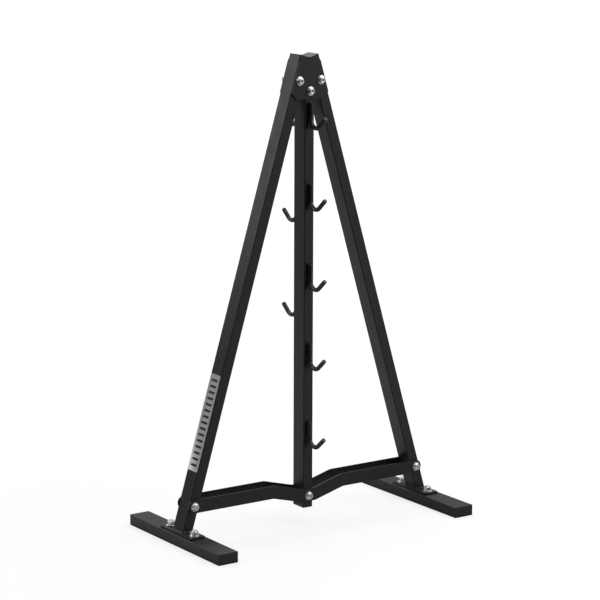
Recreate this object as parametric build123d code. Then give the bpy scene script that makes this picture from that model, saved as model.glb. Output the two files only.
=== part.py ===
from build123d import *
import math
import os

# A-frame hook rack for dumbbell handles and cable attachments.
# X runs across the rack, -Y is its front, +Z is up. The origin is on the floor under the centre post.
# Two leaning legs stand on two feet, a centre post hangs between them, and bolted plates tie them.

# ---- driving dimensions, mm ----

leg_lean = 16.7               # degrees that a leg leans in from upright
foot_centre = 386.0           # from the middle of the rack to a foot's centre line
tube_wide = 30.0              # legs and post, across the rack
tube_deep = 50.0              # legs and post, front to back
tube_wall = 1.5
tube_corner = 2.0             # outer corner radius of every tube

foot_wide = 60.0
foot_high = 30.0
foot_tube_length = 440.0

cap_flange = 3.0              # visible thickness of a tube's plastic end cap
cap_plug = 16.0               # depth of the cap's hollow plug inside the tube
cap_wall = 2.0
cap_slack = 0.15              # between the plug and the tube's inside
cap_edge = 1.0                # rounding of the flange's rim

base_plate_wide = 46.0
base_plate_long = 156.0
base_plate_thick = 5.0
base_plate_corner = 6.0
foot_bolt_spacing = 117.0     # along the foot, one bolt each side of the leg

post_bottom = 42.0            # lowest point of the post, its cap included
post_top = 1205.0             # highest point of the post, its cap included
leg_top_gap = 0.4             # between the two leg caps where they meet

side_plate_thick = 4.0        # gussets and crossbar plates
plate_edge = 0.6              # rounding that the coating gives to every plate's rim
gusset_bottom = 1159.0
gusset_top = 1264.0
gusset_top_half = 30.5
gusset_bottom_half = 44.0
gusset_inset = 1.0            # gusset edge inside the leg's outer face
gusset_chamfer_rise = 16.0    # height of the cut bottom corners
gusset_shoulder_drop = 7.0    # height of the cut top corners
gusset_corner = 5.0
gusset_leg_bolt = 1208.0      # height of the two bolts through the legs
gusset_post_bolt = 1180.0     # height of the bolt through the post

crossbar_high = 36.0
crossbar_level = 103.0        # height of the centre line of the outer, level stretches
crossbar_bend = 110.0         # where the top edge starts to slope down to the post
crossbar_flat = 17.0          # half length of the level stretch at the post
crossbar_slope = 15.0         # degrees
crossbar_bend_radius = 30.0
crossbar_post_bolt = 76.0

rod = 12.0                    # diameter of the hook rod
hook_stem = 41.0              # straight length welded to the post
hook_bend = 25.0              # bend radius of the rod's centre line
hook_rise = 40.5              # degrees that the hook's arm rises from level
hook_tip_chamfer = 1.0
front_hook_arm = 36.0
front_hook_count = 5
front_hook_lowest = 212.0     # underside of the lowest front hook
front_hook_pitch = 216.5
back_hook_arm = 30.0
back_hook_count = 3
back_hook_lowest = 559.0
back_hook_pitch = 259.5

weld_leg = 5.0                # side of a fillet weld at a leg's foot
weld_stem = 2.2               # how far a hook's weld stands out beside the rod
weld_stem_climb = 30.0        # degrees round the rod, from its side, where the weld starts
weld_stem_short = 4.0         # the weld stops this short of the stem's ends

bolt = 12.0                   # M12 throughout
bolt_hole = 13.0
bolt_tail = 5.0               # thread left showing past a nut
washer_wide = 24.0
washer_thick = 2.5
button_wide = 21.0
button_high = 6.6
button_flat = 11.0            # diameter of the flat around the socket
button_shoulder_wide = 18.5   # a point on the dome between its rim and its flat
button_shoulder_high = 4.0
socket_flats = 8.0
socket_deep = 4.8
hex_flats = 19.0
hex_head_high = 7.5
nut_high = 10.0
hex_bevel = 1.4               # how far the corners of a hexagon are turned down
foot_bolt_washer = 28.0
foot_bolt_tail = 3.5           # thread left showing past a nut on a foot

badge_wide = 46.0
badge_long = 262.0
badge_thick = 0.8
badge_corner = 3.0
badge_centre_height = 314.5

# ---- places that follow from them ----

lean_sine = math.sin(math.radians(leg_lean))
lean_cosine = math.cos(math.radians(leg_lean))
lean_slope = math.tan(math.radians(leg_lean))
plate_top = foot_high + base_plate_thick
leg_cap_axis_x = tube_wide / 2 * lean_cosine + leg_top_gap / 2
leg_length = (foot_centre - leg_cap_axis_x) / lean_sine      # along the axis, cap included
front_face = tube_deep / 2
clamp = tube_deep + 2 * side_plate_thick                     # plate, tube and plate


def leg_axis_x(height):
    """X of the right leg's centre line at a height."""
    return foot_centre - (height - plate_top) * lean_slope


def leg_outer_x(height):
    """X of the right leg's outer face at a height."""
    return leg_axis_x(height) + tube_wide / 2 / lean_cosine


gusset_bolts_at = [
    (-leg_axis_x(gusset_leg_bolt), gusset_leg_bolt),
    (leg_axis_x(gusset_leg_bolt), gusset_leg_bolt),
    (0, gusset_post_bolt),
]
crossbar_bolts_at = [
    (-leg_axis_x(crossbar_level), crossbar_level),
    (leg_axis_x(crossbar_level), crossbar_level),
    (0, crossbar_post_bolt),
]
foot_bolts_at = [
    (side * foot_centre, end * foot_bolt_spacing / 2)
    for side in (-1, 1)
    for end in (-1, 1)
]


# ---- shared shapes ----

UPRIGHT = (Align.CENTER, Align.CENTER, Align.MIN)


def bar(wide, deep, length, corner):
    """Solid bar on the XY plane, centred, running up Z."""
    return extrude(RectangleRounded(wide, deep, corner), amount=length)


def tube(wide, deep, length):
    """Rectangular tube running up Z from the XY plane."""
    inner_wide = wide - 2 * tube_wall
    inner_deep = deep - 2 * tube_wall
    core = bar(inner_wide, inner_deep, length, tube_corner - tube_wall)
    return bar(wide, deep, length, tube_corner) - core


def end_cap(wide, deep):
    """Plastic cap: the flange stands on the XY plane and its hollow plug hangs below."""
    flange = bar(wide, deep, cap_flange, tube_corner)
    flange = fillet(flange.faces().sort_by(Axis.Z)[-1].edges(), cap_edge)
    plug_wide = wide - 2 * (tube_wall + cap_slack)
    plug_deep = deep - 2 * (tube_wall + cap_slack)
    plug = bar(plug_wide, plug_deep, cap_plug, tube_corner - tube_wall)
    hollow = bar(plug_wide - 2 * cap_wall, plug_deep - 2 * cap_wall, cap_plug, cap_edge)
    return flange + Pos(0, 0, -cap_plug) * (plug - hollow)


def cross_hole(x, height):
    """Cutter for a bolt hole through the rack from front to back."""
    return Pos(x, 0, height) * Rot(90, 0, 0) * Cylinder(bolt_hole / 2, 2 * tube_deep)


def hexagon(flats, high):
    """Hexagonal prism on the XY plane with the corners of its top turned down."""
    corner_radius = flats / math.sqrt(3)
    turned_slope = (corner_radius - flats / 2) / hex_bevel
    turned = Cone(
        corner_radius + (high - hex_bevel) * turned_slope, flats / 2, high, align=UPRIGHT
    )
    return extrude(RegularPolygon(corner_radius, 6), amount=high) & turned


def nut(flats):
    """Hexagonal nut standing on the XY plane."""
    return hexagon(flats, nut_high) - Cylinder(bolt / 2, nut_high, align=UPRIGHT)


def washer(wide):
    """Flat washer standing on the XY plane."""
    disc = Cylinder(wide / 2, washer_thick, align=UPRIGHT)
    return disc - Cylinder(bolt_hole / 2, washer_thick, align=UPRIGHT)


def shank(length):
    """Bolt shank hanging below the XY plane."""
    return Pos(0, 0, -length) * Cylinder(bolt / 2, length, align=UPRIGHT)


def button_bolt(length):
    """Domed socket-head bolt, its head standing on the XY plane."""
    rim = (button_wide / 2, 0, 0)
    flat = (button_flat / 2, 0, button_high)
    shoulder = (button_shoulder_wide / 2, 0, button_shoulder_high)
    side = Polyline(flat, (0, 0, button_high), (0, 0, 0), rim)
    profile = make_face(side + ThreePointArc(rim, shoulder, flat))
    socket = extrude(RegularPolygon(socket_flats / math.sqrt(3), 6), amount=socket_deep)
    head = revolve(profile, Axis.Z) - Pos(0, 0, button_high - socket_deep) * socket
    return head + shank(length)


def hex_bolt(length):
    """Hexagon-head bolt, its head standing on the XY plane."""
    return hexagon(hex_flats, hex_head_high) + shank(length)


def soften(plate, axis):
    """Plate with the rims of the two flat faces across an axis rounded."""
    return fillet(plate.faces().filter_by(axis).edges(), plate_edge)


def group(shapes):
    """Separate solids that share one node."""
    return Compound([solid for shape in shapes for solid in shape.solids()])


def in_front(x, height, stand_off=0):
    """Frame on the front plates, its Z pointing out to the front."""
    return Pos(x, -clamp / 2 - stand_off, height) * Rot(90, 0, 0)


def behind(x, height, stand_off=0):
    """Frame on the back plates, its Z pointing out to the back."""
    return Pos(x, clamp / 2 + stand_off, height) * Rot(-90, 0, 0)


def leg_frame(side):
    """Frame at a leg's foot, its Z running up the leg; side is -1 on the left."""
    return Pos(side * foot_centre, 0, plate_top) * Rot(0, -side * leg_lean, 0)


# ---- tubes and their caps ----

def centre_post():
    length = post_top - post_bottom - 2 * cap_flange
    post = Pos(0, 0, post_bottom + cap_flange) * tube(tube_wide, tube_deep, length)
    return post - cross_hole(0, gusset_post_bolt) - cross_hole(0, crossbar_post_bolt)


def post_top_cap():
    return Pos(0, 0, post_top - cap_flange) * end_cap(tube_wide, tube_deep)


def post_bottom_cap():
    return Pos(0, 0, post_bottom + cap_flange) * Rot(180, 0, 0) * end_cap(tube_wide, tube_deep)


def leg(side):
    """Leaning tube, cut level where it stands on its base plate and square at the top."""
    below = tube_wide
    length = leg_length - cap_flange + below
    blank = leg_frame(side) * Pos(0, 0, -below) * tube(tube_wide, tube_deep, length)
    standing = split(blank, bisect_by=Plane.XY.offset(plate_top), keep=Keep.TOP)
    for height in (gusset_leg_bolt, crossbar_level):
        standing = standing - cross_hole(side * leg_axis_x(height), height)
    return standing


def leg_top_cap(side):
    return leg_frame(side) * Pos(0, 0, leg_length - cap_flange) * end_cap(tube_wide, tube_deep)


def foot(side):
    """Rectangular tube along Y with bolt holes through its top wall."""
    place = Pos(side * foot_centre, foot_tube_length / 2, foot_high / 2) * Rot(90, 0, 0)
    blank = place * tube(foot_wide, foot_high, foot_tube_length)
    for end in (-1, 1):
        hole = Cylinder(bolt_hole / 2, foot_high, align=UPRIGHT)
        blank = blank - Pos(side * foot_centre, end * foot_bolt_spacing / 2, foot_high / 2) * hole
    return blank


def foot_cap(side, end):
    """Cap on a foot; end is -1 at the front."""
    place = Pos(side * foot_centre, end * foot_tube_length / 2, foot_high / 2)
    return place * Rot(-90 * end, 0, 0) * end_cap(foot_wide, foot_high)


# ---- plates and welds ----

def base_plate(side):
    """Flat plate under a leg, bolted to the foot at both ends."""
    plate = bar(base_plate_wide, base_plate_long, base_plate_thick, base_plate_corner)
    plate = soften(plate, Axis.Z)
    for end in (-1, 1):
        hole = Cylinder(bolt_hole / 2, base_plate_thick, align=UPRIGHT)
        plate = plate - Pos(0, end * foot_bolt_spacing / 2, 0) * hole
    return Pos(side * foot_centre, 0, foot_high) * plate


def leg_weld(side):
    """Fillet weld all round a leg where it stands on its base plate."""
    foot_print = RectangleRounded(
        tube_wide / lean_cosine + 2 * weld_leg,
        tube_deep + 2 * weld_leg,
        tube_corner + weld_leg,
    )
    collar = Pos(side * foot_centre, 0, plate_top) * extrude(foot_print, weld_leg, taper=45)
    inside = leg_frame(side) * Pos(0, 0, -tube_wide) * bar(
        tube_wide, tube_deep, 3 * tube_wide, tube_corner
    )
    return collar - inside


def gusset_plate():
    """Cut plate that ties both legs and the post together, from Y 0 to its thickness in front."""
    shoulder = gusset_top - gusset_shoulder_drop
    cheek = gusset_bottom + gusset_chamfer_rise
    right = [
        (gusset_bottom_half, gusset_bottom),
        (leg_outer_x(cheek) - gusset_inset, cheek),
        (leg_outer_x(shoulder) - gusset_inset, shoulder),
        (gusset_top_half, gusset_top),
    ]
    left = [(-x, height) for x, height in reversed(right)]
    outline = Polygon(*right, *left, align=None)
    outline = fillet(outline.vertices(), gusset_corner)
    plate = soften(extrude(Plane.XZ * outline, amount=side_plate_thick), Axis.Y)
    for x, height in gusset_bolts_at:
        plate = plate - cross_hole(x, height)
    return plate


def crossbar_plate():
    """Long flat strip that dips in the middle, with round ends, in front of Y 0."""
    half = crossbar_high / 2
    reach = leg_axis_x(crossbar_level)
    top = crossbar_level + half
    bottom = crossbar_level - half
    dip = (crossbar_bend - crossbar_flat) * math.tan(math.radians(crossbar_slope))
    mitre = crossbar_high * math.tan(math.radians(crossbar_slope / 2))
    right = [
        (crossbar_flat + mitre, bottom - dip),
        (crossbar_bend + mitre, bottom),
        (reach, bottom),
        (reach, top),
        (crossbar_bend, top),
        (crossbar_flat, top - dip),
    ]
    left = [(-x, height) for x, height in reversed(right)]
    strip = Polygon(*right, *left, align=None)
    bends = [v for v in strip.vertices() if abs(v.X) < reach - half]
    strip = fillet(bends, crossbar_bend_radius)
    for side in (-1, 1):
        strip = strip + Pos(side * reach, crossbar_level) * Circle(half)
    plate = soften(extrude(Plane.XZ * strip, amount=side_plate_thick), Axis.Y)
    for x, height in crossbar_bolts_at:
        plate = plate - cross_hole(x, height)
    return plate


def in_pair(plate):
    """The same plate on the front and on the back of the tubes."""
    return Pos(0, -front_face, 0) * plate, Pos(0, clamp / 2, 0) * plate


# ---- hooks ----

def hook(arm_length):
    """J of bent rod in the YZ plane, opening to -Y, with the stem's foot on the origin."""
    stem = Line((0, hook_stem), (0, 0))
    bend = CenterArc((-hook_bend, 0), hook_bend, 0, -(90 + hook_rise))
    arm = PolarLine(bend @ 1, arm_length, 180 - hook_rise)
    start = Plane(origin=(0, 0, hook_stem), z_dir=(0, 0, -1))
    bent = sweep(start * Circle(rod / 2), path=Plane.YZ * (stem + bend + arm))
    ends = bent.faces().filter_by(GeomType.PLANE)
    return chamfer(ends.edges(), hook_tip_chamfer)


def hook_weld():
    """The two welds that fill the gaps beside a hook's stem, against the post behind it."""
    face = rod / 2
    length = hook_stem - 2 * weld_stem_short
    cusp = face / 2
    climb = math.radians(weld_stem_climb)
    start = (face * math.cos(climb), face * math.sin(climb))
    outline = Polygon(
        (cusp, face), (face + weld_stem, face), start, (cusp, face * math.sin(climb)),
        align=None,
    )
    fill = extrude(outline - Circle(face), amount=length)
    beads = [fill, mirror(fill, Plane.YZ)]
    return [Pos(0, 0, weld_stem_short) * bead for bead in beads]


def hook_frame(side, underside):
    """Frame at the foot of a hook's stem; side is -1 for the front of the post."""
    height = underside + rod / 2 + hook_bend
    turn = 0 if side < 0 else 180
    return Pos(0, side * (front_face + rod / 2), height) * Rot(0, 0, turn)


def hook_frames(side, count, lowest, pitch):
    """Frames of one face's hooks, from the top one down."""
    return [hook_frame(side, lowest + pitch * step) for step in reversed(range(count))]


front_hooks = hook_frames(-1, front_hook_count, front_hook_lowest, front_hook_pitch)
back_hooks = hook_frames(1, back_hook_count, back_hook_lowest, back_hook_pitch)


# ---- badge ----

def badge():
    """Thin blank plate on the outer face of the left leg."""
    up_leg = (badge_centre_height - plate_top) / lean_cosine
    face = Plane(origin=(-tube_wide / 2, 0, up_leg), x_dir=(0, 1, 0), z_dir=(-1, 0, 0))
    outline = RectangleRounded(badge_wide, badge_long, badge_corner)
    return leg_frame(-1) * extrude(face * outline, amount=badge_thick)


# ---- fasteners ----

def save_clamp_fasteners(name, places):
    """Bolts from the front, with a washer under each head and a washer and nut behind."""
    length = clamp + 2 * washer_thick + nut_high + bolt_tail
    bolts = [in_front(x, height, washer_thick) * button_bolt(length) for x, height in places]
    front_washers = [in_front(x, height) * washer(washer_wide) for x, height in places]
    back_washers = [behind(x, height) * washer(washer_wide) for x, height in places]
    nuts = [behind(x, height, washer_thick) * nut(hex_flats) for x, height in places]
    save(group(bolts), f"{name}_bolts")
    save(group(front_washers), f"{name}_front_washers")
    save(group(back_washers), f"{name}_back_washers")
    save(group(nuts), f"{name}_nuts")


def save_foot_fasteners():
    """Hexagon bolts up through the base plates, with their heads in the feet and nuts on top."""
    length = tube_wall + base_plate_thick + washer_thick + nut_high + foot_bolt_tail
    on_plate = [Pos(x, y, plate_top) for x, y in foot_bolts_at]
    on_washer = [Pos(x, y, plate_top + washer_thick) for x, y in foot_bolts_at]
    under_wall = [Pos(x, y, foot_high - tube_wall) * Rot(180, 0, 0) for x, y in foot_bolts_at]
    save(group([place * washer(foot_bolt_washer) for place in on_plate]), "foot_washers")
    save(group([place * hex_bolt(length) for place in under_wall]), "foot_bolts")
    save(group([place * nut(hex_flats) for place in on_washer]), "foot_nuts")


def save(shape, name):
    shape.label = name
    export_step(shape, f"parts/{name}.step")


# ---- the rack ----

os.makedirs("parts", exist_ok=True)

save(centre_post(), "centre_post")
save(post_top_cap(), "post_top_cap")
save(post_bottom_cap(), "post_bottom_cap")

for side, hand in ((-1, "left"), (1, "right")):
    save(leg(side), f"{hand}_leg")
    save(leg_top_cap(side), f"{hand}_leg_top_cap")
    save(base_plate(side), f"{hand}_base_plate")
    save(leg_weld(side), f"{hand}_leg_weld")
    save(foot(side), f"{hand}_foot")
    save(foot_cap(side, -1), f"{hand}_foot_front_cap")
    save(foot_cap(side, 1), f"{hand}_foot_back_cap")

for plate, name in ((gusset_plate(), "gusset"), (crossbar_plate(), "crossbar")):
    front, back = in_pair(plate)
    save(front, f"{name}_front")
    save(back, f"{name}_back")

for frames, arm_length, name in (
    (front_hooks, front_hook_arm, "front"),
    (back_hooks, back_hook_arm, "back"),
):
    for number, frame in enumerate(frames, start=1):
        save(frame * hook(arm_length), f"{name}_hook_{number}")
    welds = [frame * bead for frame in frames for bead in hook_weld()]
    save(group(welds), f"{name}_hook_welds")

save(badge(), "badge_plate")
save_clamp_fasteners("gusset", gusset_bolts_at)
save_clamp_fasteners("crossbar", crossbar_bolts_at)
save_foot_fasteners()
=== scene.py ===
import math

import bmesh
import bpy
from mathutils import Matrix, Vector


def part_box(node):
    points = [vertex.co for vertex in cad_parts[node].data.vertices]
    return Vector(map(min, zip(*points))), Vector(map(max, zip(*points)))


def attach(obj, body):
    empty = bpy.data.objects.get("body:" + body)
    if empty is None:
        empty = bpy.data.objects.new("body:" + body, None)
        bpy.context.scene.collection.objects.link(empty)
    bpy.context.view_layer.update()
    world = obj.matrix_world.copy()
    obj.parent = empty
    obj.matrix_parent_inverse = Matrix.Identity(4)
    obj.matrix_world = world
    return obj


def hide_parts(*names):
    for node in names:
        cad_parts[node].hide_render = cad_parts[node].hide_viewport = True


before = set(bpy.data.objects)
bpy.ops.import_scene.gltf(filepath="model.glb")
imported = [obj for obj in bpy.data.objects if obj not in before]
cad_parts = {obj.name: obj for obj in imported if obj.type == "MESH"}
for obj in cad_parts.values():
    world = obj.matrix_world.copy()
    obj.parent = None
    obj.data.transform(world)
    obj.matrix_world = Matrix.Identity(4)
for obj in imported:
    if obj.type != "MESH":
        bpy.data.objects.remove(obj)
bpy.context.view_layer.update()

# Looks of the A-frame hook rack, in metres, in the CAD model's own frame:
# X across the rack, -Y its front, +Z up, the origin on the floor under the post.

MM = 0.001
LEAN = math.radians(16.7)          # how far a leg leans in from upright
TAU = 2 * math.pi


# ---- shader helpers ----

def new_tree(name):
    """A material with an empty node tree and a Principled shader on its output."""
    material = bpy.data.materials.new(name)
    material.use_nodes = True
    tree = material.node_tree
    tree.nodes.clear()
    shader = tree.nodes.new("ShaderNodeBsdfPrincipled")
    output = tree.nodes.new("ShaderNodeOutputMaterial")
    tree.links.new(shader.outputs["BSDF"], output.inputs["Surface"])
    return material, tree, shader


def add(tree, kind, inputs=None, **settings):
    """A shader node; each of its inputs is a plain value or another node's output."""
    node = tree.nodes.new("ShaderNode" + kind)
    for name, value in settings.items():
        setattr(node, name, value)
    for key, value in (inputs or {}).items():
        feed(tree, node.inputs[key], value)
    return node


def feed(tree, socket, value):
    """Links a socket to another node's output, or sets its plain value."""
    if isinstance(value, bpy.types.NodeSocket):
        tree.links.new(value, socket)
    else:
        socket.default_value = value


def object_place(tree, turn=(0, 0, 0), stretch=(1, 1, 1)):
    """Place on the object in metres, turned, and stretched for streaky textures."""
    place = add(tree, "TexCoord").outputs["Object"]
    inputs = {"Vector": place, "Rotation": turn, "Scale": stretch}
    return add(tree, "Mapping", inputs).outputs["Vector"]


def noise(tree, place, scale, detail=3.0, roughness=0.55):
    inputs = {"Vector": place, "Scale": scale, "Detail": detail, "Roughness": roughness}
    return add(tree, "TexNoise", inputs).outputs["Fac"]


def cells(tree, place, scale):
    """Distance to the nearest of many scattered points."""
    return add(tree, "TexVoronoi", {"Vector": place, "Scale": scale}).outputs["Distance"]


def spread(tree, value, low, high, to_low, to_high):
    """Value carried from one range to another, and held at its ends."""
    inputs = {
        "Value": value,
        "From Min": low,
        "From Max": high,
        "To Min": to_low,
        "To Max": to_high,
    }
    return add(tree, "MapRange", inputs).outputs["Result"]


def mix(tree, share, first, second):
    """Colour that goes from first to second as share goes from 0 to 1."""
    node = add(tree, "Mix", data_type="RGBA")
    feed(tree, node.inputs[0], share)
    feed(tree, node.inputs[6], first)
    feed(tree, node.inputs[7], second)
    return node.outputs[2]


def math_node(tree, operation, first, second):
    inputs = {0: first, 1: second}
    return add(tree, "Math", inputs, operation=operation).outputs[0]


def bump(tree, height, distance, strength=1.0, under=None):
    """Normal from a height, on top of the normal under it."""
    inputs = {"Height": height, "Distance": distance, "Strength": strength}
    if under is not None:
        inputs["Normal"] = under
    return add(tree, "Bump", inputs).outputs["Normal"]


def edge_share(tree, radius):
    """0 on flat faces, rising towards 1 on outer edges sharper than a radius."""
    rounded = add(tree, "Bevel", {"Radius": radius}, samples=6).outputs["Normal"]
    flat = add(tree, "NewGeometry").outputs["Normal"]
    along = add(tree, "VectorMath", {0: rounded, 1: flat}, operation="DOT_PRODUCT")
    return spread(tree, along.outputs["Value"], 0.995, 0.85, 0.0, 1.0)


def corner_share(tree):
    """0 on faces square to the rack's front or side, 1 where an upright corner turns between."""
    normal = add(tree, "NewGeometry").outputs["Normal"]
    to_front = add(tree, "SeparateXYZ", {"Vector": normal}).outputs["Y"]
    square = math_node(tree, "MULTIPLY", to_front, to_front)
    turning = math_node(tree, "MULTIPLY", square, math_node(tree, "SUBTRACT", 1.0, square))
    return spread(tree, turning, 0.0, 0.12, 0.0, 1.0)


def grey(level, blue=0.0):
    """Opaque grey, a little blue or, below zero, a little warm."""
    return (level, level, level * (1 + blue), 1)


# ---- finishes ----

def powder_coat(name, level=0.011, gloss=0.0, grain=1.0, painted_dark_corners=False):
    """Satin black powder coat: orange peel, fine grain, thin edges, faint handling marks, and on request
    a painted dark reflection along upright corners.
    """
    material, tree, shader = new_tree(name)
    place = object_place(tree)
    clouds = noise(tree, place, 9.0)
    flecks = spread(tree, noise(tree, place, 900.0, detail=1.0), 0.45, 0.75, 0.0, 1.0)
    colour = mix(tree, clouds, grey(level * 0.8), grey(level * 1.3, 0.05))
    colour = mix(tree, math_node(tree, "MULTIPLY", flecks, 0.35), colour, grey(level * 2.6, 0.03))
    patchy = spread(tree, noise(tree, place, 60.0), 0.45, 0.65, 0.0, 0.5)
    worn = math_node(tree, "MULTIPLY", edge_share(tree, 1.2 * MM), patchy)
    colour = mix(tree, worn, colour, grey(0.03))
    rough = spread(tree, noise(tree, place, 26.0, detail=5.0), 0.3, 0.7, 0.36 - gloss, 0.46 - gloss)
    scuffs = noise(tree, object_place(tree, (0, LEAN, 0), (240, 240, 9)), 1.0, detail=2.0)
    rough = math_node(tree, "ADD", rough, spread(tree, scuffs, 0.62, 0.72, 0.0, 0.07))
    if painted_dark_corners:  # painted dark reflection: upright corners are painted almost black, and made rougher
        corner = corner_share(tree)
        rough = math_node(tree, "ADD", rough, math_node(tree, "MULTIPLY", corner, 0.45))
        colour = mix(tree, corner, colour, grey(0.003))
    peel = bump(tree, cells(tree, place, 420.0), 0.05 * MM, 0.5 * grain)
    normal = bump(tree, noise(tree, place, 1500.0, detail=2.0), 0.02 * MM, 0.6 * grain, peel)
    feed(tree, shader.inputs["Base Color"], colour)
    feed(tree, shader.inputs["Roughness"], rough)
    feed(tree, shader.inputs["Normal"], normal)
    return material


def cap_plastic():
    """Matte black moulded plastic with a fine spark-eroded grain and faint flow marks."""
    material, tree, shader = new_tree("cap_plastic")
    place = object_place(tree)
    flow = noise(tree, object_place(tree, (0, 0, 0.4), (30, 90, 30)), 1.0, detail=4.0)
    colour = mix(tree, flow, grey(0.012), grey(0.02, 0.04))
    worn = math_node(tree, "MULTIPLY", edge_share(tree, 1.0 * MM), 0.5)
    colour = mix(tree, worn, colour, grey(0.045))
    rough = spread(tree, noise(tree, place, 70.0), 0.3, 0.7, 0.42, 0.56)
    normal = bump(tree, noise(tree, place, 1100.0, detail=3.0), 0.04 * MM, 0.8)
    feed(tree, shader.inputs["Base Color"], colour)
    feed(tree, shader.inputs["Roughness"], rough)
    feed(tree, shader.inputs["Normal"], normal)
    return material


def zinc():
    """Bright zinc plate: a little cloudy and blue, with patches of tarnish, fine scratches and pits."""
    material, tree, shader = new_tree("zinc")
    place = object_place(tree)
    clouds = noise(tree, place, 160.0, detail=4.0)
    colour = mix(tree, clouds, grey(0.86, 0.03), grey(0.96, 0.01))
    tarnish = spread(tree, noise(tree, place, 55.0), 0.6, 0.8, 0.0, 0.25)
    colour = mix(tree, tarnish, colour, (0.7, 0.67, 0.6, 1))
    rough = spread(tree, noise(tree, place, 300.0, detail=5.0), 0.3, 0.7, 0.24, 0.38)
    scratches = noise(tree, object_place(tree, (0.3, 0.9, 0.5), (2600, 260, 260)), 1.0)
    pits = bump(tree, noise(tree, place, 900.0), 0.008 * MM, 0.4)
    normal = bump(tree, scratches, 0.006 * MM, 0.3, pits)
    feed(tree, shader.inputs["Base Color"], colour)
    feed(tree, shader.inputs["Roughness"], rough)
    feed(tree, shader.inputs["Normal"], normal)
    shader.inputs["Metallic"].default_value = 1.0
    return material


def badge_metal():
    """Aluminium brushed along the badge, with a cloudy lacquer."""
    material, tree, shader = new_tree("badge_metal")
    streaks = noise(tree, object_place(tree, (0, -LEAN, 0), (900, 1400, 14)), 1.0, detail=4.0)
    clouds = noise(tree, object_place(tree), 22.0)
    colour = mix(tree, streaks, grey(0.58), grey(0.76, 0.0))
    colour = mix(tree, spread(tree, clouds, 0.4, 0.7, 0.0, 0.4), colour, grey(0.56))
    rough = spread(tree, streaks, 0.3, 0.7, 0.42, 0.56)
    feed(tree, shader.inputs["Base Color"], colour)
    feed(tree, shader.inputs["Roughness"], rough)
    feed(tree, shader.inputs["Normal"], bump(tree, streaks, 0.02 * MM, 0.6))
    shader.inputs["Metallic"].default_value = 1.0
    return material


# the frame's coat carries a painted dark reflection along its upright corners
COAT = powder_coat("powder_coat", painted_dark_corners=True)
HOOK_COAT = powder_coat("hook_coat", gloss=0.08, grain=0.7)
WELD_COAT = powder_coat("weld_coat", gloss=0.06, grain=0.4)
PLASTIC = cap_plastic()
ZINC = zinc()
BADGE = badge_metal()
ENAMEL = powder_coat("enamel", level=0.008, grain=0.2)


def finish_for(node):
    """The finish of a CAD node, from its name."""
    if node.endswith("cap"):
        return PLASTIC
    if "weld" in node:
        return WELD_COAT
    if "hook" in node:
        return HOOK_COAT
    if "badge" in node:
        return BADGE
    if any(word in node for word in ("bolts", "nuts", "washers")):
        return ZINC
    return COAT


for node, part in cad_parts.items():
    part.data.materials.clear()
    part.data.materials.append(finish_for(node))


# ---- mesh helpers ----

def new_piece(name, verts, faces, material, nodes):
    """A piece that rides on the rack and stands for some CAD nodes."""
    mesh = bpy.data.meshes.new(name)
    mesh.from_pydata(verts, [], faces)
    shell = bmesh.new()
    shell.from_mesh(mesh)
    bmesh.ops.recalc_face_normals(shell, faces=shell.faces)
    shell.to_mesh(mesh)
    shell.free()
    mesh.shade_smooth()
    mesh.set_sharp_from_angle(angle=math.radians(35))
    mesh.materials.append(material)
    piece = bpy.data.objects.new(name, mesh)
    bpy.context.scene.collection.objects.link(piece)
    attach(piece, "root")
    if nodes:
        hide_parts(*nodes)
    return piece


def stack(loops, closed=False):
    """Skin over loops of equally many points; closed joins the last loop to the first."""
    around = len(loops[0])
    verts = [point for loop in loops for point in loop]
    faces = []
    for row in range(len(loops) if closed else len(loops) - 1):
        here = row * around
        there = (row + 1) % len(loops) * around
        for step in range(around):
            after = (step + 1) % around
            faces.append((here + step, here + after, there + after, there + step))
    if not closed:
        faces.append(tuple(reversed(range(around))))
        faces.append(tuple(range(len(verts) - around, len(verts))))
    return verts, faces


def turned(profile, closed=False, segments=72):
    """Body round +Z from (height, radius) in mm; a radius may depend on the angle."""
    loops = []
    for height, reach in profile:
        loop = []
        for step in range(segments):
            angle = TAU * step / segments
            radius = reach(angle) if callable(reach) else reach
            loop.append((radius * math.cos(angle), radius * math.sin(angle), height))
        loops.append([tuple(value * MM for value in point) for point in loop])
    return stack(loops, closed)


def gather(shape, places):
    """Copies of one shape at several places, as one shape."""
    verts, faces = shape
    all_verts, all_faces = [], []
    for place in places:
        offset = len(all_verts)
        all_verts += [tuple(place @ Vector(point)) for point in verts]
        all_faces += [tuple(offset + index for index in face) for face in faces]
    return all_verts, all_faces


def join(*shapes):
    """Several shapes as one."""
    all_verts, all_faces = [], []
    for verts, faces in shapes:
        offset = len(all_verts)
        all_verts += verts
        all_faces += [tuple(offset + index for index in face) for face in faces]
    return all_verts, all_faces


def rounded_loop(half_x, half_y, corner, arc_steps=5, side_steps=1):
    """Points and outward directions round a rectangle with round corners, counter-clockwise."""
    quarter = math.pi / 2
    centres = ((1, 1), (-1, 1), (-1, -1), (1, -1))
    loop = []
    for turn, (sign_x, sign_y) in enumerate(centres):
        centre = Vector((sign_x * (half_x - corner), sign_y * (half_y - corner)))
        for step in range(arc_steps + 1):
            angle = quarter * (turn + step / arc_steps)
            out = Vector((math.cos(angle), math.sin(angle)))
            loop.append((centre + out * corner, out))
        following = centres[(turn + 1) % 4]
        ahead = Vector((following[0] * (half_x - corner), following[1] * (half_y - corner)))
        begin, end = centre + out * corner, ahead + out * corner
        for step in range(1, side_steps):
            loop.append((begin.lerp(end, step / side_steps), out))
    return loop


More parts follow.
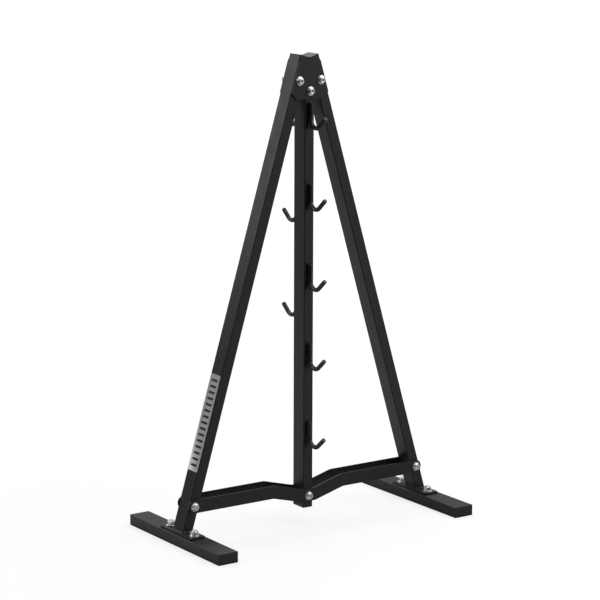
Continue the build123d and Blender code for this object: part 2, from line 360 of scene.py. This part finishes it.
def solid_boxes(node):
    """Lowest and highest corner of each separate solid in a CAD node, from left to right."""
    shell = bmesh.new()
    shell.from_mesh(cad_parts[node].data)
    bmesh.ops.remove_doubles(shell, verts=shell.verts, dist=0.001 * MM)
    waiting = set(shell.verts)
    boxes = []
    while waiting:
        reached = [waiting.pop()]
        solid = []
        while reached:
            vert = reached.pop()
            solid.append(vert.co.copy())
            near = {edge.other_vert(vert) for edge in vert.link_edges} & waiting
            waiting -= near
            reached += near
        low = Vector([min(co[axis] for co in solid) for axis in range(3)])
        high = Vector([max(co[axis] for co in solid) for axis in range(3)])
        boxes.append((low, high))
    shell.free()
    return sorted(boxes, key=lambda box: tuple(round(value, 3) for value in box[0]))


# ---- fasteners ----

BOLT = 6.0                # mm, radius of an M12 thread over its crests
PITCH = 1.75
THREAD_DEEP = 0.75
HEX = 9.5                 # half the width across flats of the heads and nuts
NUT_HIGH = 10.0
BUTTON_HIGH = 6.6
BUTTON = 10.5             # radius of a domed head
BUTTON_FLAT = 5.5
SOCKET = 4.0              # half the width across flats of the socket
HEAD_HIGH = 7.5
WASHER_HIGH = 2.5
CLAMP_WASHER = 12.0       # outer radius
FOOT_WASHER = 14.0
THREAD_LONG = 9.0         # length of the cut thread at a bolt's end


def hexagon(flat, limit=100.0):
    """Radius of a hexagon at an angle, cut back to a round limit at its corners."""
    sixth = math.pi / 3
    return lambda angle: min(flat / math.cos((angle + sixth / 2) % sixth - sixth / 2), limit)


def thread(height):
    """Radius of the helical thread at a height and an angle."""
    def reach(angle):
        phase = (height / PITCH - angle / TAU) % 1
        return BOLT - THREAD_DEEP * abs(2 * phase - 1)
    return reach


def threaded_end(bottom, top):
    """Profile of a thread from its chamfered end up to the plain shank."""
    steps = round((top - bottom) / PITCH * 8)
    heights = [bottom + 0.9 + (top - bottom - 0.9) * step / steps for step in range(steps + 1)]
    chamfer = [(bottom, BOLT - 1.4), (bottom + 0.5, BOLT - 0.95)]
    return chamfer + [(height, thread(height)) for height in heights]


def button_bolt(length):
    """Domed bolt with a hexagon socket, the underside of its head at height 0."""
    dome = []
    for step in range(13):
        angle = math.pi / 2 * step / 12
        radius = BUTTON_FLAT + (BUTTON - BUTTON_FLAT) * math.cos(angle)
        dome.append((0.3 + (BUTTON_HIGH - 0.3) * math.sin(angle), radius))
    shank = threaded_end(-length, THREAD_LONG - length) + [(THREAD_LONG + 0.6 - length, BOLT), (0, BOLT)]
    socket = [
        (BUTTON_HIGH, SOCKET * 1.25),
        (BUTTON_HIGH - 0.5, hexagon(SOCKET)),
        (BUTTON_HIGH - 4.8, hexagon(SOCKET)),
        (BUTTON_HIGH - 5.4, 0.4),
    ]
    return turned(shank + [(0, BUTTON - 0.3)] + dome + socket)


def hex_bolt(length):
    """Hexagon-head bolt with turned-down corners and a shallow dish in its top."""
    shank = threaded_end(-length, THREAD_LONG - length) + [(THREAD_LONG + 0.6 - length, BOLT), (0, BOLT)]
    head = [(0, HEX - 0.3), (0.5, hexagon(HEX, HEX + 0.4)), (1.0, hexagon(HEX))]
    for step in range(6):
        share = step / 5
        head.append((HEAD_HIGH - 1.3 * (1 - share), hexagon(HEX, HEX + 1.47 - 1.6 * share)))
    dish = [(HEAD_HIGH, HEX - 1.2), (HEAD_HIGH - 0.35, HEX - 1.8), (HEAD_HIGH - 0.35, 0.4)]
    return turned(shank + head + dish)


def nut():
    """Hexagon nut with both ends turned down and both mouths countersunk."""
    profile = [(0.7, BOLT), (0, BOLT + 0.7), (0, HEX - 0.3)]
    for step in range(5):
        share = step / 4
        profile.append((1.1 * share + 0.1, hexagon(HEX, HEX + 1.47 * share)))
    for step in range(5):
        share = step / 4
        rise = NUT_HIGH - 0.1 - 1.1 * (1 - share)
        profile.append((rise, hexagon(HEX, HEX + 1.47 * (1 - share))))
    profile += [(NUT_HIGH, HEX - 0.3), (NUT_HIGH, BOLT + 0.7), (NUT_HIGH - 0.7, BOLT)]
    return turned(profile, closed=True)


def washer(radius):
    """Punched washer: its upper rims are rolled round, its lower ones sharp."""
    bore = BOLT + 0.5
    return turned([
        (0, bore), (0, radius), (WASHER_HIGH - 0.5, radius), (WASHER_HIGH - 0.15, radius - 0.15),
        (WASHER_HIGH, radius - 0.5), (WASHER_HIGH, bore + 0.4), (WASHER_HIGH - 0.3, bore),
    ], closed=True)


FORWARD = Matrix.Rotation(math.radians(90), 4, "X")
BACKWARD = Matrix.Rotation(math.radians(-90), 4, "X")
UPWARD = Matrix.Identity(4)
DOWNWARD = Matrix.Rotation(math.radians(180), 4, "X")
SPIN = math.radians(37)       # each fastener in a row is turned on from the last


def seats(node, aim, below):
    """Frames for a row of fasteners; below is where each solid starts along its aim, in mm."""
    frames = []
    outward = aim @ Vector((0, 0, 1))
    for number, (low, high) in enumerate(solid_boxes(node)):
        middle = (low + high) / 2
        half = abs((high - low).dot(outward)) / 2
        base = middle - outward * (half + below * MM)
        frames.append(Matrix.Translation(base) @ aim @ Matrix.Rotation(SPIN * number, 4, "Z"))
    return frames


def fasteners(node, shape, aim, below=0.0):
    verts, faces = gather(shape, seats(node, aim, below))
    new_piece(node + "_detailed", verts, faces, ZINC, [node])


def depth_of(node):
    """Size of a node from front to back, in mm."""
    low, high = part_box(node)
    return (high.y - low.y) / MM


def height_of(node):
    low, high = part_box(node)
    return (high.z - low.z) / MM


for group in ("gusset", "crossbar"):
    bolt_length = depth_of(group + "_bolts") - BUTTON_HIGH
    fasteners(group + "_bolts", button_bolt(bolt_length), FORWARD, -bolt_length)
    fasteners(group + "_front_washers", washer(CLAMP_WASHER), FORWARD)
    fasteners(group + "_back_washers", washer(CLAMP_WASHER), BACKWARD)
    fasteners(group + "_nuts", nut(), BACKWARD)

foot_bolt_length = height_of("foot_bolts") - HEAD_HIGH
fasteners("foot_bolts", hex_bolt(foot_bolt_length), DOWNWARD, -foot_bolt_length)
fasteners("foot_washers", washer(FOOT_WASHER), UPWARD)
fasteners("foot_nuts", nut(), UPWARD)


# ---- welds ----

RIPPLE = 2.3              # mm from one ripple of a weld to the next
LEG_CORNER = 2.5          # mm, corner radius of the path that a leg's weld follows
BEAD_STEPS = 9            # points across the rounded face of a leg's weld
BEAD_ROOT = 1.2           # mm that a leg's weld reaches in under its face
BEAD_SINK = 0.4           # and down into the base plate


def ripple(along):
    """Swelling of a bead at a length along it, in mm: scallops, and a slow unevenness."""
    scallop = abs(math.sin(math.pi * along / RIPPLE)) ** 0.7
    return 0.93 + 0.09 * scallop + 0.03 * math.sin(along * 0.31) + 0.02 * math.sin(along * 0.83)


def leg_weld(hand, side):
    """Rippled fillet all round a leg's foot, following the leg's lean as it rises."""
    low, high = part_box(hand + "_leg_weld")
    middle = (low + high) / 2 / MM
    reach = (high.z - low.z) / MM
    half_x = (high.x - low.x) / MM / 2 - reach
    half_y = (high.y - low.y) / MM / 2 - reach
    floor_z = low.z / MM
    path = rounded_loop(half_x, half_y, LEG_CORNER, arc_steps=8, side_steps=60)
    loops = []
    along = 0.0
    before = path[-1][0]
    for point, out in path:
        along += (point - before).length
        before = point
        loop = []
        for step in range(BEAD_STEPS):
            angle = math.radians(-8 + 106 * step / (BEAD_STEPS - 1))
            size = (reach - 0.3) * ripple(along + 0.9 * math.cos(2 * angle)) * 0.93
            bulge = size * (0.80 + 0.18 * math.sin(2 * max(0.0, min(math.pi / 2, angle))))
            level = bulge * math.sin(angle)
            spot = point + out * bulge * math.cos(angle)
            loop.append((spot.x - side * level * math.tan(LEAN), spot.y, level))
        inner = point - out * BEAD_ROOT
        loop.append((inner.x - side * 3.0 * math.tan(LEAN), inner.y, 3.0))
        loop.append((inner.x, inner.y, -BEAD_SINK))
        loops.append([
            ((x + middle.x) * MM, (y + middle.y) * MM, (level + floor_z) * MM)
            for x, y, level in loop
        ])
    verts, faces = stack(loops, closed=True)
    new_piece(hand + "_leg_weld_bead", verts, faces, WELD_COAT, [hand + "_leg_weld"])


leg_weld("left", -1)
leg_weld("right", 1)

HOOK_WELD = 2.5           # mm, radius of the beads beside a hook's stem
HOOK_WELD_IN = 0.9        # their centre line stands this far off the post


def hook_weld_bead(length):
    """Straight rippled bead with tapered ends, up +Z."""
    steps = int(length / 0.4)
    profile = []
    for step in range(steps + 1):
        along = length * step / steps
        from_end = min(along, length - along)
        taper = math.sqrt(min(1.0, (from_end + 0.15) / 2.5))
        profile.append((along, HOOK_WELD * ripple(along) * taper))
    return turned(profile, segments=20)


def hook_welds(name, side):
    """Two beads beside each stem, where the CAD welds are."""
    places = []
    beads = solid_boxes(name + "_hook_welds")
    for low, high in beads:
        middle = (low + high) / 2
        face = high.y if side < 0 else low.y
        places.append(Matrix.Translation((middle.x, face + side * HOOK_WELD_IN * MM, low.z)))
    length = (beads[0][1].z - beads[0][0].z) / MM
    verts, faces = gather(hook_weld_bead(length), places)
    node = name + "_hook_welds"
    new_piece(name + "_hook_weld_beads", verts, faces, WELD_COAT, [node])


hook_welds("front", -1)
hook_welds("back", 1)


# ---- badge ----

BADGE_CORNER = 3.0        # mm
BADGE_THICK = 0.8
BAR_COUNT = 15
BAR_MARGIN = 16.0         # from an end of the badge to the middle of the nearest bar
BAR_HALF = 14.0           # half the length of a bar
BAR_SHARE = 0.2           # half a bar's width, as a share of the distance between bars
BAR_CORNER = 1.2


def badge_frame():
    """Frame in the badge's middle, X forward, Y up the leg, Z out; and the size of its box."""
    low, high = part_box("badge_plate")
    up = Vector((math.sin(LEAN), 0, math.cos(LEAN)))
    out = Vector((-math.cos(LEAN), 0, math.sin(LEAN)))
    turn = Matrix((Vector((0, -1, 0)), up, out)).transposed().to_4x4()
    return Matrix.Translation((low + high) / 2) @ turn, high - low


def badge():
    """Brushed plate with a raised rim and a row of plain dark bars."""
    place, size = badge_frame()
    half_wide = size.y / MM / 2
    half_long = (size.z / MM - BADGE_THICK * math.sin(LEAN)) / math.cos(LEAN) / 2
    top = BADGE_THICK / 2
    levels = ((-top, 0), (top - 0.15, 0), (top, 0.15), (top, 1.5), (top - 0.2, 1.8))
    loops = []
    for level, inset in levels:
        loop = rounded_loop(half_wide - inset, half_long - inset, BADGE_CORNER - inset)
        loops.append([(spot.x * MM, spot.y * MM, level * MM) for spot, out in loop])
    verts, faces = gather(stack(loops), [place])
    new_piece("badge", verts, faces, BADGE, ["badge_plate"])
    bars = []
    pitch = 2 * (half_long - BAR_MARGIN) / (BAR_COUNT - 1)
    bar_half_wide = pitch * BAR_SHARE
    for number in range(BAR_COUNT):
        middle = pitch * number + BAR_MARGIN - half_long
        loops = []
        for level, inset in ((top - 0.25, 0), (top - 0.1, 0), (top - 0.06, 0.06)):
            loop = rounded_loop(
                BAR_HALF - inset, bar_half_wide - inset, BAR_CORNER - inset, arc_steps=3
            )
            loops.append([
                (spot.x * MM, (spot.y + middle) * MM, level * MM) for spot, out in loop
            ])
        bars.append(stack(loops))
    verts, faces = gather(join(*bars), [place])
    new_piece("badge_bars", verts, faces, ENAMEL, [])


badge()


# ---- floor, light and camera ----

FLOOR_REACH = 30.0            # m from the middle to each side
FLOOR_LEVEL = 0.36            # grey of the paper as the camera sees it
FLOOR_BRIGHT = 0.9            # grey of the brightest paper that lights the rack
FLOOR_GLOW = (2.95, 3.6)      # near the rack, and far off
FLOOR_GLOW_SHARE = 0.25       # how much of what the camera sees is glow
CORNER_SIDE = (-0.82, -0.57, 0.0)     # floor that the front left corners mirror
FRONT_SIDE = (0.57, -0.82, 0.0)       # floor that the front faces mirror
PAINTED_DARK_EDGE = (0.7, 1.3)        # m out to CORNER_SIDE where painted shade darkens the paper and where it is painted black
FAR_PAPER = (0.2, 5.5, 0.32, 1.15)    # m out to FRONT_SIDE, and the paper's share of white, painted lighter far off
NEAR_PAPER = (-0.3, 0.5, 0.26, 0.05)  # the same, painted light added close to the rack and behind it
DARK_SIDE = (-0.56, -0.81, 0.17)      # dimmest part of the sky
SKY_FRONT = 0.15              # share of the sky's light that is left on the dark side
SKY_LOW = 0.08
SKY_HIGH = 0.95
SKY_CLIMB = (0.22, 0.6)       # rise of a direction where the sky starts to brighten and is full
SKY_TURN = (0.1, 0.9)         # nearness to the dark side where the sky dims and is dimmest


def distance_along(tree, place, direction):
    """How far a place lies in a direction."""
    inputs = {0: place, 1: direction}
    return add(tree, "VectorMath", inputs, operation="DOT_PRODUCT").outputs["Value"]


def paper_with_painted_shade(tree, place):
    """Paper as the rack sees it, with painted shade and light: painted black to its front left, painted
    whiter far in front and behind.
    """
    ahead = distance_along(tree, place, FRONT_SIDE)
    dark = spread(tree, distance_along(tree, place, CORNER_SIDE), *PAINTED_DARK_EDGE, 1.0, 0.0)
    far = spread(tree, ahead, *FAR_PAPER)
    back = spread(tree, ahead, *NEAR_PAPER)
    level = math_node(tree, "MULTIPLY", dark, math_node(tree, "ADD", far, back))
    return mix(tree, level, grey(0.0), grey(FLOOR_BRIGHT))


def floor():
    """Pale paper, seen brighter than it lights the rack, as on an overexposed white set."""
    mesh = bpy.data.meshes.new("floor")
    reach = FLOOR_REACH
    corners = [(-reach, -reach, 0), (reach, -reach, 0), (reach, reach, 0), (-reach, reach, 0)]
    mesh.from_pydata(corners, [], [(0, 1, 2, 3)])
    ground = bpy.data.objects.new("floor", mesh)
    bpy.context.scene.collection.objects.link(ground)
    material, tree, shader = new_tree("floor_paper")
    is_camera = add(tree, "LightPath").outputs["Is Camera Ray"]
    # painted shade and light on the paper, seen only by the rack; the camera sees plain grey and glow
    paper = paper_with_painted_shade(tree, object_place(tree))
    feed(tree, shader.inputs["Base Color"], mix(tree, is_camera, paper, grey(FLOOR_LEVEL)))
    shader.inputs["Roughness"].default_value = 0.8
    shader.inputs["Specular IOR Level"].default_value = 0.1
    away = add(tree, "VectorMath", {0: object_place(tree)}, operation="LENGTH").outputs["Value"]
    glow = add(tree, "Emission", {"Strength": spread(tree, away, 0.8, 5.0, *FLOOR_GLOW)})
    share = math_node(tree, "MULTIPLY", is_camera, FLOOR_GLOW_SHARE)
    seen = add(tree, "MixShader", {0: share, 1: shader.outputs[0], 2: glow.outputs[0]})
    output = next(node for node in tree.nodes if node.type == "OUTPUT_MATERIAL")
    tree.links.new(seen.outputs[0], output.inputs["Surface"])
    mesh.materials.append(material)


SOFTBOXES = {
    # name: place, what it points at, size in m and power in W
    "back_left": ((-1.9, 2.3, 1.9), (-0.1, 0, 0.9), (1.6, 1.4), 12),
    "overhead": ((0.6, -0.1, 2.9), (0.1, 0, 0.6), (2.0, 2.0), 18),
    "front_right": ((1.3, -1.7, 2.2), (0, 0, 1.25), (1.1, 1.1), 17),
    "high_back": ((1.1, 2.4, 2.7), (0, 0, 1.2), (1.2, 1.2), 9),
}


def softbox(name, place, aim, size, power):
    """Rectangular lamp that the camera doesn't see."""
    light = bpy.data.lights.new(name, "AREA")
    light.shape = "RECTANGLE"
    light.size, light.size_y = size
    light.energy = power
    lamp = bpy.data.objects.new(name, light)
    lamp.location = place
    lamp.rotation_euler = (Vector(aim) - Vector(place)).to_track_quat("-Z", "Y").to_euler()
    lamp.visible_camera = False
    bpy.context.scene.collection.objects.link(lamp)


def studio():
    """Dim at the horizon, brighter overhead, dimmest in front; the camera sees plain white."""
    world = bpy.data.worlds.new("studio")
    bpy.context.scene.world = world
    world.use_nodes = True
    tree = world.node_tree
    tree.nodes.clear()
    direction = add(tree, "TexCoord").outputs["Generated"]
    upward = add(tree, "SeparateXYZ", {"Vector": direction}).outputs["Z"]
    towards_dark = distance_along(tree, direction, DARK_SIDE)
    shade = spread(tree, towards_dark, *SKY_TURN, 1.0, SKY_FRONT)
    climb = spread(tree, upward, *SKY_CLIMB, SKY_LOW, SKY_HIGH)
    lit = add(tree, "Background", {"Strength": math_node(tree, "MULTIPLY", climb, shade)})
    lit.inputs["Color"].default_value = (1, 1, 1, 1)
    seen = add(tree, "Background", {"Color": (1, 1, 1, 1), "Strength": 1.0})
    is_camera = add(tree, "LightPath").outputs["Is Camera Ray"]
    both = add(tree, "MixShader", {0: is_camera, 1: lit.outputs[0], 2: seen.outputs[0]})
    add(tree, "OutputWorld", {"Surface": both.outputs[0]})


def camera():
    """A long lens on the left of the front, a little above the rack."""
    aim = Vector((-0.112, -0.179, 0.650))
    azimuth = math.radians(-34.78)
    elevation = math.radians(11.25)
    roll = math.radians(0.23)
    distance = 6.108
    away = Vector((
        math.sin(azimuth) * math.cos(elevation),
        -math.cos(azimuth) * math.cos(elevation),
        math.sin(elevation),
    ))
    data = bpy.data.cameras.new("camera")
    data.sensor_width = 36.0
    data.lens = 141.0
    data.shift_x = -0.01195
    data.shift_y = 0.00385
    data.clip_end = 100.0
    viewer = bpy.data.objects.new("camera", data)
    look = (-away).to_track_quat("-Z", "Y").to_matrix().to_4x4()
    tilt = Matrix.Rotation(roll, 4, "Z")
    viewer.matrix_world = Matrix.Translation(aim + away * distance) @ look @ tilt
    bpy.context.scene.collection.objects.link(viewer)
    bpy.context.scene.camera = viewer


bpy.context.scene.view_settings.view_transform = "Standard"
floor()
studio()
for name, (place, aim, size, power) in SOFTBOXES.items():
    softbox(name, place, aim, size, power)
camera()
